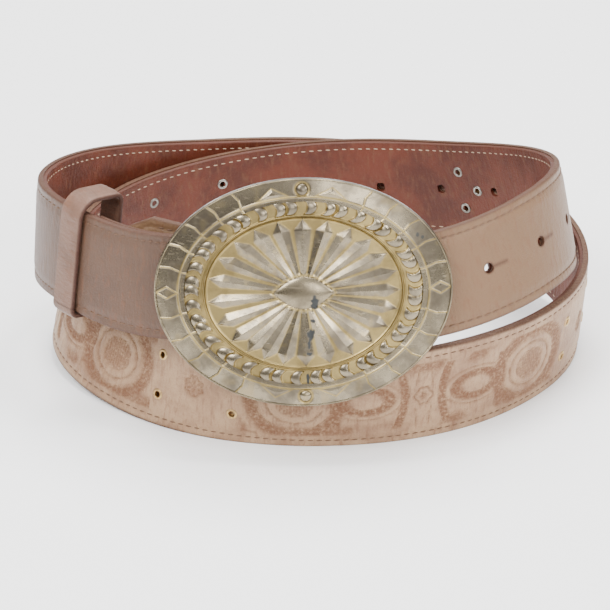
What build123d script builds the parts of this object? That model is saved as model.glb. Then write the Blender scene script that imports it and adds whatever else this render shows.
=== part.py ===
"""A western dress belt with a large oval plate buckle, buckled and coiled in two turns on its edge.

Frame: +Z up, the coil stands on Z = 0, -Y is the front where the buckle plate faces, +X to its right.
All lengths are in millimetres and all angles in degrees.
"""
from build123d import *
from math import cos, pi, radians, sin, sqrt
import os

import numpy as np

# ---------------------------------------------------------------- driving dimensions: strap
STRAP_WIDTH = 38.1
FACE_THICKNESS = 2.4
CORE_THICKNESS = 1.0
LINING_THICKNESS = 1.4
STRAP_THICKNESS = FACE_THICKNESS + LINING_THICKNESS
CORE_WIDTH = 27.0
LINING_INSET = 0.4
TIP_POINT_LENGTH = 22.0
TIP_POINT_FLAT = 9.0

# Coil: half width, half depth and sideways shift of the oval that the stations are measured on.
COIL_HALF_WIDTH = 98.0
COIL_HALF_DEPTH = 83.0
COIL_SHIFT = 10.0
# Each station: turn angle from the front, share of the oval, height of the lower edge, outward lean.
COIL_STATIONS = [
    (-66, 0.955, 40.0, 1),
    (-45, 0.86, 39.5, -10),
    (-20, 0.805, 38.0, -16),
    (5, 0.80, 39.0, -16),
    (30, 0.83, 42.0, -15),
    (60, 0.85, 46.0, -16),
    (90, 0.84, 40.0, -10),
    (120, 0.865, 29.5, -7),
    (150, 0.91, 18.5, -4),
    (180, 0.975, 12.0, -1),
    (210, 1.035, 7.5, -1),
    (240, 1.055, 5.5, -6),
    (270, 1.015, 3.5, -14),
    (300, 0.91, 0.5, -19),
    (330, 0.90, -0.4, -3),
    (360, 0.88, -0.5, 7),
    (390, 0.85, -0.5, 7),
    (420, 0.85, -0.5, 9),
    (450, 0.90, 0.5, 6),
    (480, 0.96, 4.0, 1),
    (510, 1.015, 6.5, -1),
    (540, 1.065, 9.0, -2),
    (570, 1.10, 13.0, -3),
    (600, 1.125, 23.0, -2),
    (630, 1.115, 33.0, -3),
    (650, 1.075, 38.0, -6),
    (670, 0.99, 37.5, -11),
    (682, 0.937, 39.3, -14),
]
STATION_STEP = 20.0

# ---------------------------------------------------------------- driving dimensions: fittings
HOLE_PITCH = 25.4
HOLE_COUNT = 9
HOLE_RADIUS = 2.3
SLIT_LENGTH = 8.5
SLIT_WIDTH = 0.8
HOOK_SLOT_WIDTH = 4.2

EYELET_BORE = 1.1
EYELET_BARREL_RADIUS = 1.5
EYELET_FLANGE_RADIUS = 2.1
EYELET_FLANGE_THICKNESS = 0.35
EYELET_SPREAD = 15.0
EYELET_REACH = 15.0
FLOWER_FIRST = 403.5
FLOWER_PITCH = 168.0
FLOWER_COUNT = 4
JOIN_PLACE = 292.0
JOIN_STEP = 7.5

FOLD_THICKNESS = 1.6
FOLD_LENGTH = 36.0
FOLD_INSET = 0.55
FOLD_WIDTH = STRAP_WIDTH - 2 * FOLD_INSET
SNAP_PLACES = (11.0, 29.0)
SNAP_BARREL_RADIUS = 1.8
SNAP_STUD_RADIUS = 4.2
SNAP_HEAD_RADIUS = 5.0
SNAP_CAP_RADIUS = 5.5
SNAP_HEAD_THICKNESS = 0.5
SNAP_NUB_RADIUS = 2.2

KEEPER_LENGTH = 11.0
KEEPER_THICKNESS = 1.9
KEEPER_CORNER = 3.0
KEEPER_TRAVEL = 4.0
KEEPER_CLEARANCE = 0.6
KEEPER_BACK_FROM_FOLD = 47.0
STAPLE_WIRE = 0.8
STAPLE_SPAN = 6.0

# ---------------------------------------------------------------- driving dimensions: buckle
PLATE_LENGTH = 106.0
PLATE_HEIGHT = 82.0
PLATE_THICKNESS = 2.2
PLATE_RISE = 7.0
PLATE_HEADING = 1.0
RIM_WIDTH = 1.6
RIM_HEIGHT = 0.9
BEAD_BAND_OUTER = 0.82
BEAD_BAND_INNER = 0.68
BEAD_BAND_HEIGHT = 0.8
RAY_COUNT = 24
RAY_REACH = 0.65
RAY_SHOULDER = 0.555
RAY_ROOT = 0.10
RAY_HEIGHT = 1.1
RAY_FIELD_REACH = 0.66
RAY_FIELD_HEIGHT = 0.3
EYE_HALF_LENGTH = 0.205
EYE_HALF_HEIGHT = 0.145
EYE_HEIGHT = 1.8

BAIL_WIRE = 3.0
BAIL_SIDE_CLEARANCE = 0.6
BAIL_BEND = 2.2
BAIL_PLACE = -43.0
BAIL_DEPTH = 15.8
KNUCKLE_PLACE = -31.0
KNUCKLE_RADIUS = 2.6
KNUCKLE_WIDTH = 7.0
PIVOT_CLEARANCE = 0.05
FOLD_CLEARANCE = 0.1

HOOK_PLACE = 42.5
HOOK_BASE_LENGTH = 10.0
HOOK_BASE_WIDTH = 8.0
HOOK_BASE_THICKNESS = 0.9
HOOK_WIRE = 3.0
HOOK_LIP = 3.4
HOOK_PAST_STRAP = 1.6


# ---------------------------------------------------------------- coil route
def natural_spline(knots, values):
    """A smooth curve of one number through every (knot, value), as a function."""
    x = np.array(knots, float)
    y = np.array(values, float)
    gaps = np.diff(x)
    size = len(x)
    matrix = np.eye(size)
    right = np.zeros(size)
    for i in range(1, size - 1):
        matrix[i, i - 1] = gaps[i - 1]
        matrix[i, i] = 2 * (gaps[i - 1] + gaps[i])
        matrix[i, i + 1] = gaps[i]
        right[i] = 6 * ((y[i + 1] - y[i]) / gaps[i] - (y[i] - y[i - 1]) / gaps[i - 1])
    bend = np.linalg.solve(matrix, right)

    def value(at):
        i = int(np.clip(np.searchsorted(x, at) - 1, 0, size - 2))
        gap = gaps[i]
        near = (x[i + 1] - at) / gap
        far = (at - x[i]) / gap
        cubic = (near**3 - near) * bend[i] + (far**3 - far) * bend[i + 1]
        return near * y[i] + far * y[i + 1] + cubic * gap**2 / 6

    return value


turns = [station[0] for station in COIL_STATIONS]
share_at = natural_spline(turns, [station[1] for station in COIL_STATIONS])
height_at = natural_spline(turns, [station[2] for station in COIL_STATIONS])
lean_at = natural_spline(turns, [station[3] for station in COIL_STATIONS])


def strap_middle(turn):
    """Middle of the strap's section at one turn angle."""
    share = share_at(turn)
    x = COIL_SHIFT + COIL_HALF_WIDTH * share * sin(radians(turn))
    y = -COIL_HALF_DEPTH * share * cos(radians(turn))
    z = height_at(turn) + STRAP_WIDTH / 2 * cos(radians(lean_at(turn)))
    return Vector(x, y, z)


TURN_STEP = 0.5
fine_turns = np.arange(turns[0], turns[-1] + TURN_STEP / 2, TURN_STEP)
fine_points = [strap_middle(turn) for turn in fine_turns]
fine_lengths = [0.0]
for first, second in zip(fine_points, fine_points[1:]):
    fine_lengths.append(fine_lengths[-1] + (second - first).length)
STRAP_LENGTH = fine_lengths[-1]


def turn_for(along):
    """Turn angle at a distance along the strap from its tip, a little past its ends too."""
    inside = min(max(along, 0), STRAP_LENGTH)
    turn = float(np.interp(inside, fine_lengths, fine_turns))
    rate = TURN_STEP / (fine_lengths[1] if along < 0 else fine_lengths[-1] - fine_lengths[-2])
    return turn + (along - inside) * rate


def strap_plane(along):
    """Section plane: origin at mid section, X inward through the strap, Y up its width, Z along it."""
    turn = turn_for(along)
    small = 0.25
    forward = (strap_middle(turn + small) - strap_middle(turn - small)).normalized()
    level = Vector(forward.X, forward.Y, 0).normalized()
    outward = Vector(level.Y, -level.X, 0)
    lean = radians(lean_at(turn))
    up = outward * sin(lean) + Vector(0, 0, 1) * cos(lean)
    up = (up - forward * up.dot(forward)).normalized()
    inward = up.cross(forward).normalized()
    return Plane(strap_middle(turn), x_dir=inward, z_dir=forward)


def strap_point(along, depth, rise):
    """A point at a depth under the outer surface and a rise from mid width."""
    return strap_plane(along).from_local_coords(Vector(depth - STRAP_THICKNESS / 2, rise, 0))


def ribbon(profile, places):
    """A solid that runs through places along the coil with a polygon section of (depth, rise) corners."""
    nudge = 0.5

    def corners(place):
        plane = strap_plane(place)
        return [plane.from_local_coords(Vector(depth - STRAP_THICKNESS / 2, rise, 0)) for depth, rise in profile]

    faces = []
    rows = [corners(place) for place in places]
    ahead = [corners(place + nudge) for place in places]
    behind = [corners(place - nudge) for place in places]
    for i in range(len(places) - 1):
        third = (places[i + 1] - places[i]) / 3
        rails = []
        for j in range(len(profile)):
            leave = (ahead[i][j] - behind[i][j]) * (third / (2 * nudge))
            arrive = (ahead[i + 1][j] - behind[i + 1][j]) * (third / (2 * nudge))
            near, far = rows[i][j], rows[i + 1][j]
            rails.append(Edge.make_bezier(near, near + leave, far - arrive, far))
        for rail, following in zip(rails, rails[1:] + rails[:1]):
            faces.append(Face.make_surface_from_curves(rail, following))
    for row in (rows[0], rows[-1]):
        faces.append(Face(Wire.make_polygon(row, close=True)))
    return Solid(Shell(faces))


def even_places(start, end):
    """Section places at an even spacing of about one station step."""
    count = max(1, round((end - start) / STATION_STEP))
    return [start + (end - start) * i / count for i in range(count + 1)]


def block(depths, rises):
    """A rectangle section from a pair of depths and a pair of rises."""
    return [(depths[0], rises[0]), (depths[1], rises[0]), (depths[1], rises[1]), (depths[0], rises[1])]


def through_pin(along, rise, radius, depths):
    """A round bar across the strap, square to its face, between two depths."""
    plane = strap_plane(along)
    base = plane.from_local_coords(Vector(depths[0] - STRAP_THICKNESS / 2, rise, 0))
    across = Plane(base, x_dir=plane.z_dir, z_dir=plane.x_dir)
    return across * Cylinder(radius, depths[1] - depths[0], align=(Align.CENTER, Align.CENTER, Align.MIN))


def through_bar(along, length, width, depths):
    """A square bar across the strap that starts at a place along it and runs away from the tip."""
    plane = strap_plane(along)
    base = plane.from_local_coords(Vector(depths[0] - STRAP_THICKNESS / 2, 0, 0))
    across = Plane(base, x_dir=plane.z_dir, z_dir=plane.x_dir)
    return across * Box(length, width, depths[1] - depths[0], align=(Align.MIN, Align.CENTER, Align.MIN))


# ---------------------------------------------------------------- places that several pieces share
FOLD_AXIS_DEPTH = FOLD_THICKNESS + BAIL_WIRE / 2 + FOLD_CLEARANCE
end_plane = strap_plane(STRAP_LENGTH)
axis_offset = FOLD_AXIS_DEPTH - STRAP_THICKNESS / 2
bail_axis_point = end_plane.from_local_coords(Vector(axis_offset, 0, 0))

plate_up = end_plane.y_dir
heading = Vector(cos(radians(PLATE_HEADING)), sin(radians(PLATE_HEADING)), 0)
plate_right = (heading - plate_up * heading.dot(plate_up)).normalized()
plate_out = plate_right.cross(plate_up)
plate_origin = bail_axis_point - plate_right * BAIL_PLACE + plate_out * BAIL_DEPTH
plate_frame = Plane(plate_origin, x_dir=plate_right, z_dir=plate_out)
PLATE_RADIUS = ((PLATE_LENGTH / 2) ** 2 + PLATE_RISE**2) / (2 * PLATE_RISE)


def plate_drop(x):
    """How far the plate's front lies behind its middle at a distance from the middle."""
    return PLATE_RADIUS - sqrt(PLATE_RADIUS**2 - x * x)


def plate_back(x):
    """Local height of the plate's back surface at a distance from the middle."""
    return -plate_drop(x) - PLATE_THICKNESS


def hook_along():
    """Distance along the strap at which the hook stands behind the plate."""
    places = np.arange(60.0, 220.0, 0.25)
    reach = [plate_frame.to_local_coords(strap_point(place, 0, 0)).X for place in places]
    return float(np.interp(HOOK_PLACE, reach, places))


HOOK_ALONG = hook_along()
hook_spot = plate_frame.to_local_coords(strap_point(HOOK_ALONG, STRAP_THICKNESS, 0))
HOOK_RISE = hook_spot.Y
HOOK_LIP_HEIGHT = hook_spot.Z - HOOK_PAST_STRAP - HOOK_WIRE / 2
FOLD_LEAF_DEPTH = FOLD_AXIS_DEPTH + BAIL_WIRE / 2 + FOLD_CLEARANCE
SNAP_GAP = FOLD_LEAF_DEPTH - STRAP_THICKNESS
KEEPER_ALONG = STRAP_LENGTH - KEEPER_BACK_FROM_FOLD
BAIL_ARM = STRAP_WIDTH / 2 + BAIL_SIDE_CLEARANCE + BAIL_WIRE / 2
KNUCKLE_MIDDLE = BAIL_ARM - BAIL_BEND - KNUCKLE_WIDTH / 2
KNUCKLE_HEIGHT = plate_back(KNUCKLE_PLACE) - KNUCKLE_RADIUS
hole_places = [HOOK_ALONG + HOLE_PITCH * i for i in range(HOLE_COUNT)]
flower_places = [FLOWER_FIRST + FLOWER_PITCH * i for i in range(FLOWER_COUNT)]
eyelet_spots = [
    (place + reach, rise)
    for place in flower_places
    for reach in (-EYELET_REACH, EYELET_REACH)
    for rise in (-EYELET_SPREAD / 2, EYELET_SPREAD / 2)
]
eyelet_spots += [(JOIN_PLACE, -EYELET_SPREAD / 2), (JOIN_PLACE, EYELET_SPREAD / 2), (JOIN_PLACE - JOIN_STEP, 0)]
snap_places = [STRAP_LENGTH - place for place in SNAP_PLACES]
layer_places = even_places(0, STRAP_LENGTH - BAIL_WIRE)
CUT_MARGIN = 1.0


# ---------------------------------------------------------------- strap pieces
THROUGH = (-CUT_MARGIN, STRAP_THICKNESS + CUT_MARGIN)


def punches():
    """Everything that is punched through the whole strap: belt holes, their slits and eyelet holes."""
    cutters = []
    for number, place in enumerate(hole_places):
        cutters.append(through_pin(place, 0, HOLE_RADIUS, THROUGH))
        width = HOOK_SLOT_WIDTH if number == 0 else SLIT_WIDTH
        cutters.append(through_bar(place, SLIT_LENGTH, width, THROUGH))
    for place, rise in eyelet_spots:
        cutters.append(through_pin(place, rise, EYELET_BARREL_RADIUS, THROUGH))
    return cutters


def snap_holes(radius):
    """Holes for the snap posts, of one radius."""
    return [through_pin(place, 0, radius, THROUGH) for place in snap_places]


def tip_cutters():
    """Two wedges that leave the strap's tip pointed."""
    plane = strap_plane(0)
    thick = 4 * STRAP_THICKNESS
    wedges = []
    for side in (-1, 1):
        corner = STRAP_WIDTH / 2 + CUT_MARGIN
        outline = Polyline(
            (-CUT_MARGIN, side * TIP_POINT_FLAT / 2),
            (0, side * TIP_POINT_FLAT / 2),
            (TIP_POINT_LENGTH, side * STRAP_WIDTH / 2),
            (TIP_POINT_LENGTH, side * corner),
            (-CUT_MARGIN, side * corner),
            close=True,
        )
        across = Plane(plane.origin, x_dir=plane.z_dir, z_dir=plane.x_dir)
        wedges.append(across * extrude(make_face(outline), thick / 2, both=True))
    return wedges


def finish_strap(solid):
    """Cut the holes, the tip and the flat that the coil stands on."""
    floor = Box(4 * COIL_HALF_WIDTH, 4 * COIL_HALF_DEPTH, STRAP_WIDTH, align=(Align.CENTER, Align.CENTER, Align.MAX))
    return solid - punches() - tip_cutters() - floor


def bail_room():
    """The round space that the bail's bar turns in, at the strap's folded end."""
    axis = Plane(bail_axis_point, x_dir=end_plane.x_dir, z_dir=end_plane.y_dir)
    return axis * Cylinder(BAIL_WIRE / 2 + FOLD_CLEARANCE, 2 * STRAP_WIDTH)


def strap_face():
    """Tooled outer leather, with a shallow channel on its back for the filler."""
    half = STRAP_WIDTH / 2
    core = CORE_WIDTH / 2
    channel = FACE_THICKNESS - CORE_THICKNESS
    profile = [
        (0, -half),
        (FACE_THICKNESS, -half),
        (FACE_THICKNESS, -core),
        (channel, -core),
        (channel, core),
        (FACE_THICKNESS, core),
        (FACE_THICKNESS, half),
        (0, half),
    ]
    return finish_strap(ribbon(profile, layer_places + [STRAP_LENGTH])) - bail_room()


def strap_core():
    """Filler strip that pads the middle of the strap."""
    core = CORE_WIDTH / 2
    depths = (FACE_THICKNESS - CORE_THICKNESS, FACE_THICKNESS)
    return finish_strap(ribbon(block(depths, (-core, core)), layer_places)) - snap_holes(SNAP_HEAD_RADIUS)


def strap_lining():
    """Thin lining leather, sewn to the back of the face and a little narrower."""
    half = STRAP_WIDTH / 2 - LINING_INSET
    core = CORE_WIDTH / 2
    front = [(FACE_THICKNESS, rise) for rise in (half, core, -core, -half)]
    profile = front + [(STRAP_THICKNESS, -half), (STRAP_THICKNESS, half)]
    return finish_strap(ribbon(profile, layer_places)) - snap_holes(SNAP_BARREL_RADIUS)


def fold_tab():
    """The thinned leather that turns round the bail and lies back behind the strap."""
    inner = BAIL_WIRE / 2 + FOLD_CLEARANCE
    axis = Plane(bail_axis_point, x_dir=end_plane.x_dir, z_dir=end_plane.y_dir)
    outline = Circle(inner + FOLD_THICKNESS) - Circle(inner)
    outline -= Pos(0, inner + FOLD_THICKNESS) * Rectangle(4 * STRAP_THICKNESS, 2 * (inner + FOLD_THICKNESS))
    turn = axis * extrude(outline, FOLD_WIDTH / 2, both=True)
    leaf_depths = (FOLD_LEAF_DEPTH, FOLD_LEAF_DEPTH + FOLD_THICKNESS)
    half = FOLD_WIDTH / 2
    leaf_places = even_places(STRAP_LENGTH - FOLD_LENGTH, STRAP_LENGTH)
    leaf = ribbon(block(leaf_depths, (-half, half)), leaf_places)
    holes = [through_pin(place, 0, SNAP_BARREL_RADIUS, (0, 4 * STRAP_THICKNESS)) for place in snap_places]
    return turn + leaf - holes


def group(pieces):
    """Separate solids kept together in one node."""
    return Compound([solid for piece in pieces for solid in piece.solids()])


def snap_posts():
    """Rivet heads hidden in the filler, each with its barrel through the lining."""
    posts = []
    for place in snap_places:
        head = through_pin(place, 0, SNAP_HEAD_RADIUS, (FACE_THICKNESS - CORE_THICKNESS, FACE_THICKNESS))
        posts.append(head + through_pin(place, 0, SNAP_BARREL_RADIUS, (FACE_THICKNESS, STRAP_THICKNESS)))
    return group(posts)


def snap_studs():
    """The sprung studs riveted to the lining."""
    studs = []
    middle = STRAP_THICKNESS + SNAP_GAP / 2
    for place in snap_places:
        disc = through_pin(place, 0, SNAP_STUD_RADIUS, (STRAP_THICKNESS, middle))
        studs.append(disc + through_pin(place, 0, SNAP_NUB_RADIUS, (middle, FOLD_LEAF_DEPTH)))
    return group(studs)


def snap_sockets():
    """The rings on the fold that the studs press into."""
    rings = []
    middle = STRAP_THICKNESS + SNAP_GAP / 2
    for place in snap_places:
        ring = through_pin(place, 0, SNAP_STUD_RADIUS, (middle, FOLD_LEAF_DEPTH))
        rings.append(ring - through_pin(place, 0, SNAP_NUB_RADIUS, (middle, FOLD_LEAF_DEPTH)))
    return group(rings)


def snap_caps():
    """The caps on the inside of the fold, each with its barrel through the leather."""
    caps = []
    back = FOLD_LEAF_DEPTH + FOLD_THICKNESS
    for place in snap_places:
        barrel = through_pin(place, 0, SNAP_BARREL_RADIUS, (FOLD_LEAF_DEPTH, back))
        caps.append(barrel + through_pin(place, 0, SNAP_CAP_RADIUS, (back, back + SNAP_HEAD_THICKNESS)))
    return group(caps)


def eyelets():
    """Small metal eyelets with their barrels through the strap."""
    rings = []
    for place, rise in eyelet_spots:
        flange = through_pin(place, rise, EYELET_FLANGE_RADIUS, (-EYELET_FLANGE_THICKNESS, 0))
        barrel = through_pin(place, rise, EYELET_BARREL_RADIUS, (0, STRAP_THICKNESS))
        rings.append(flange + barrel - through_pin(place, rise, EYELET_BORE, THROUGH))
    return group(rings)


def eyelet_washers():
    """The washers that the eyelets are rolled over on the lining side."""
    rings = []
    depths = (STRAP_THICKNESS, STRAP_THICKNESS + EYELET_FLANGE_THICKNESS)
    for place, rise in eyelet_spots:
        ring = through_pin(place, rise, EYELET_FLANGE_RADIUS, depths)
        rings.append(ring - through_pin(place, rise, EYELET_BORE, depths))
    return group(rings)


# ---------------------------------------------------------------- keeper
keeper_plane = strap_plane(KEEPER_ALONG)


def keeper_space():
    """Lowest and highest inward and upward corners of both straps where the keeper can slide."""
    reach = KEEPER_LENGTH / 2 + KEEPER_TRAVEL
    spots = [KEEPER_ALONG + reach * share for share in (-1, -0.5, 0, 0.5, 1)]
    spots += [0.5 * i for i in range(100)]
    inside = []
    for spot in spots:
        for depth in (0, STRAP_THICKNESS):
            for side in (-1, 1):
                local = keeper_plane.to_local_coords(strap_point(spot, depth, side * STRAP_WIDTH / 2))
                if abs(local.Z) <= reach + 0.01:
                    inside.append(local)
    low = (min(p.X for p in inside) - KEEPER_CLEARANCE, min(p.Y for p in inside) - KEEPER_CLEARANCE)
    high = (max(p.X for p in inside) + KEEPER_CLEARANCE, max(p.Y for p in inside) + KEEPER_CLEARANCE)
    return low, high


def keeper_loop():
    """The loose leather loop that holds the tip beside the buckle end."""
    low, high = keeper_space()
    width = high[0] - low[0]
    height = high[1] - low[1]
    middle = Pos((low[0] + high[0]) / 2, (low[1] + high[1]) / 2)
    outer = RectangleRounded(width + 2 * KEEPER_THICKNESS, height + 2 * KEEPER_THICKNESS, KEEPER_CORNER)
    ring = middle * (outer - Rectangle(width, height))
    return keeper_plane * extrude(ring, KEEPER_LENGTH / 2, both=True)


def keeper_staple():
    """The wire staple that closes the loop on its inner side."""
    low, high = keeper_space()
    inner = high[0] + KEEPER_THICKNESS
    middle = (low[1] + high[1]) / 2
    bar = Box(STAPLE_WIRE, STAPLE_SPAN, STAPLE_WIRE, align=(Align.MIN, Align.CENTER, Align.CENTER))
    wires = []
    for side in (-1, 1):
        wires.append(keeper_plane * Pos(inner, middle, side * KEEPER_LENGTH / 4) * bar)
    return group(wires)


# ---------------------------------------------------------------- buckle
def plate_layer(outline, bottom, top):
    """An outline on the plate as a layer between two heights over its curved front."""
    tube = Cylinder(PLATE_RADIUS + top, 2 * PLATE_LENGTH) - Cylinder(PLATE_RADIUS + bottom, 2 * PLATE_LENGTH)
    tube = Pos(0, 0, -PLATE_RADIUS) * Rot(90, 0, 0) * tube
    prism = Pos(0, 0, -PLATE_LENGTH / 2) * extrude(outline, PLATE_LENGTH)
    return plate_frame * (tube & prism)


def oval(share):
    """The plate's oval at a share of its full size."""
    return Ellipse(PLATE_LENGTH / 2 * share, PLATE_HEIGHT / 2 * share)


def buckle_plate():
    """The curved oval base plate."""
    return plate_layer(oval(1), -PLATE_THICKNESS, 0)


def buckle_rim():
    """The raised edge band."""
    inner = Ellipse(PLATE_LENGTH / 2 - RIM_WIDTH, PLATE_HEIGHT / 2 - RIM_WIDTH)
    return plate_layer(oval(1) - inner, 0, RIM_HEIGHT)


def bead_band():
    """The raised oval band that carries the crescents."""
    return plate_layer(oval(BEAD_BAND_OUTER) - oval(BEAD_BAND_INNER), 0, BEAD_BAND_HEIGHT)


def ray_outline(number):
    """One long diamond from the middle towards the band."""
    spread = pi / RAY_COUNT
    angle = 2 * pi * number / RAY_COUNT
    corners = [(RAY_ROOT, 0), (RAY_SHOULDER, -spread / 2), (RAY_REACH, 0), (RAY_SHOULDER, spread / 2)]
    points = []
    for share, turn in corners:
        x = PLATE_LENGTH / 2 * share * cos(angle + turn)
        y = PLATE_HEIGHT / 2 * share * sin(angle + turn)
        points.append((x, y))
    return make_face(Polyline(*points, close=True))


def ray_medallion():
    """The applied gold field with its ring of rays."""
    medallion = plate_layer(oval(RAY_FIELD_REACH), 0, RAY_FIELD_HEIGHT)
    rays = [plate_layer(ray_outline(i) - eye_outline(), RAY_FIELD_HEIGHT, RAY_HEIGHT) for i in range(RAY_COUNT)]
    return medallion + rays


def eye_outline():
    """A pointed oval, from two arcs."""
    tip = PLATE_LENGTH / 2 * EYE_HALF_LENGTH
    rise = PLATE_HEIGHT / 2 * EYE_HALF_HEIGHT
    above = ThreePointArc((-tip, 0), (0, rise), (tip, 0))
    below = ThreePointArc((tip, 0), (0, -rise), (-tip, 0))
    return make_face([above, below])


def eye_boss():
    """The domed centre boss."""
    return plate_layer(eye_outline(), RAY_FIELD_HEIGHT, EYE_HEIGHT)


def plate_inside(drop):
    """The space behind the plate's back, from a distance behind it."""
    radius = PLATE_RADIUS - PLATE_THICKNESS - drop
    return Pos(0, 0, -PLATE_RADIUS) * Rot(90, 0, 0) * Cylinder(radius, 2 * PLATE_LENGTH)


def bail_knuckles():
    """Two tubes on the plate's back that the bail's ends turn in."""
    pieces = []
    bore = BAIL_WIRE / 2 + PIVOT_CLEARANCE
    foot_height = KNUCKLE_RADIUS + PLATE_RISE
    foot = Box(2 * KNUCKLE_RADIUS, KNUCKLE_WIDTH, foot_height, align=(Align.CENTER, Align.CENTER, Align.MIN))
    for side in (-1, 1):
        place = Pos(KNUCKLE_PLACE, side * KNUCKLE_MIDDLE, KNUCKLE_HEIGHT)
        tube = Rot(90, 0, 0) * Cylinder(KNUCKLE_RADIUS, KNUCKLE_WIDTH)
        knuckle = place * (foot + tube - Rot(90, 0, 0) * Cylinder(bore, 2 * KNUCKLE_WIDTH))
        pieces.append(plate_frame * (knuckle & plate_inside(0)))
    return group(pieces)


def bail():
    """The bent wire loop between the strap's fold and the plate."""
    pin_end = KNUCKLE_MIDDLE - KNUCKLE_WIDTH / 2
    path = FilletPolyline(
        (KNUCKLE_PLACE, -pin_end, KNUCKLE_HEIGHT),
        (KNUCKLE_PLACE, -BAIL_ARM, KNUCKLE_HEIGHT),
        (BAIL_PLACE, -BAIL_ARM, -BAIL_DEPTH),
        (BAIL_PLACE, BAIL_ARM, -BAIL_DEPTH),
        (KNUCKLE_PLACE, BAIL_ARM, KNUCKLE_HEIGHT),
        (KNUCKLE_PLACE, pin_end, KNUCKLE_HEIGHT),
        radius=BAIL_BEND,
    )
    section = Plane(path @ 0, z_dir=path % 0) * Circle(BAIL_WIRE / 2)
    return plate_frame * sweep(section, path)


def hook_base():
    """The small pad that carries the hook on the plate's back."""
    pad = Pos(HOOK_PLACE, HOOK_RISE, -PLATE_LENGTH / 2) * Box(HOOK_BASE_LENGTH, HOOK_BASE_WIDTH, PLATE_LENGTH)
    return plate_frame * (pad & (plate_inside(0) - plate_inside(HOOK_BASE_THICKNESS)))


def hook():
    """The bent peg that goes through the strap's hole, with its lip turned along the slit."""
    path = FilletPolyline(
        (HOOK_PLACE, HOOK_RISE, 0),
        (HOOK_PLACE, HOOK_RISE, HOOK_LIP_HEIGHT),
        (HOOK_PLACE + HOOK_LIP, HOOK_RISE, HOOK_LIP_HEIGHT),
        radius=HOOK_WIRE / 2 + 0.1,
    )
    section = Plane(path @ 0, z_dir=path % 0) * Circle(HOOK_WIRE / 2)
    peg = sweep(section, path) & plate_inside(HOOK_BASE_THICKNESS)
    return plate_frame * peg


makers = [
    strap_face,
    strap_core,
    strap_lining,
    fold_tab,
    snap_posts,
    snap_studs,
    snap_sockets,
    snap_caps,
    eyelets,
    eyelet_washers,
    keeper_loop,
    keeper_staple,
    buckle_plate,
    buckle_rim,
    bead_band,
    ray_medallion,
    eye_boss,
    bail_knuckles,
    bail,
    hook_base,
    hook,
]


def main():
    """Make every piece, centre the whole on the origin and write it out."""
    made = {maker.__name__: maker() for maker in makers}
    boxes = [shape.bounding_box() for shape in made.values()]
    low = [min(getattr(box.min, side) for box in boxes) for side in "XYZ"]
    high = [max(getattr(box.max, side) for box in boxes) for side in "XYZ"]
    shift = Pos(-(low[0] + high[0]) / 2, -(low[1] + high[1]) / 2, -low[2])
    os.makedirs("parts", exist_ok=True)
    for name, shape in made.items():
        export_step(shape.moved(shift), f"parts/{name}.step")


if __name__ == "__main__":
    main()
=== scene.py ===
# %% [markdown]
# # A coiled western belt
#
# The CAD model gives every piece its place. This lesson gives each of them its looks: leather that is
# padded, tooled and stitched, and an oval plate buckle with raised rays. We start by loading that model
# as a fixed frame and by keeping its box, because the finished belt has to stay inside it.

from math import cos, pi, radians, sin

import bpy
import numpy as np
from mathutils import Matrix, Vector


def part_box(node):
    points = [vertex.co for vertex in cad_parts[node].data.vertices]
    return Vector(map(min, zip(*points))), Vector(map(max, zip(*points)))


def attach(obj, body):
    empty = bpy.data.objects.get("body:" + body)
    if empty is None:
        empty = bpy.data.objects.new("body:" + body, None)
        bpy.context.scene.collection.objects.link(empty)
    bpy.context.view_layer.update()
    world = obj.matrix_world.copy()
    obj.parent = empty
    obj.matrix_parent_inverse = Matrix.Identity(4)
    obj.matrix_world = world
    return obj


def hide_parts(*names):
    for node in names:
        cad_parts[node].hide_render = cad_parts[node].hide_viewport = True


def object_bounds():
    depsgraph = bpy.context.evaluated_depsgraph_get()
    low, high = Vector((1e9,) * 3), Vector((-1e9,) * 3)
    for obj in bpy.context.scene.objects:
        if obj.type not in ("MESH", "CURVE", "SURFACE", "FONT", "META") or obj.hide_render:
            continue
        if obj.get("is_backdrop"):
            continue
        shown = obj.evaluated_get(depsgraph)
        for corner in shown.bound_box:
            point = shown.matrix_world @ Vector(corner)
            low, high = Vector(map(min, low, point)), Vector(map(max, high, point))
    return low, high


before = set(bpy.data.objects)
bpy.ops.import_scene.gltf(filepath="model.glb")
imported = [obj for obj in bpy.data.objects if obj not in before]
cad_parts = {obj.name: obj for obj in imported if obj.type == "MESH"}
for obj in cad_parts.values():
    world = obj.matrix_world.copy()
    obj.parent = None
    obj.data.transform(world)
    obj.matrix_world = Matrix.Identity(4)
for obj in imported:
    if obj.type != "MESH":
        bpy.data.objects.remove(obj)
cad_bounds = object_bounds()
MM = 0.001
print("nodes:", sorted(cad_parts))

# %% [markdown]
# ## The route of the strap
#
# A belt is a flat strip that is bent round a coil, so it is easiest to model it flat and bend it after.
# Every leather piece below is made in three numbers, all in millimetres: how far along the strap from
# the tip, how high above its middle line, and how deep under its outer surface. The route gives each
# place along the strap a middle point and three directions. Its stations are the ones that the CAD
# model is built from, and a natural cubic spline joins them.

# %% Stations of the coil
STRAP_WIDTH = 38.1
FACE_THICKNESS = 2.4
STRAP_THICKNESS = 3.8
COIL_HALF_WIDTH = 98.0
COIL_HALF_DEPTH = 83.0
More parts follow.
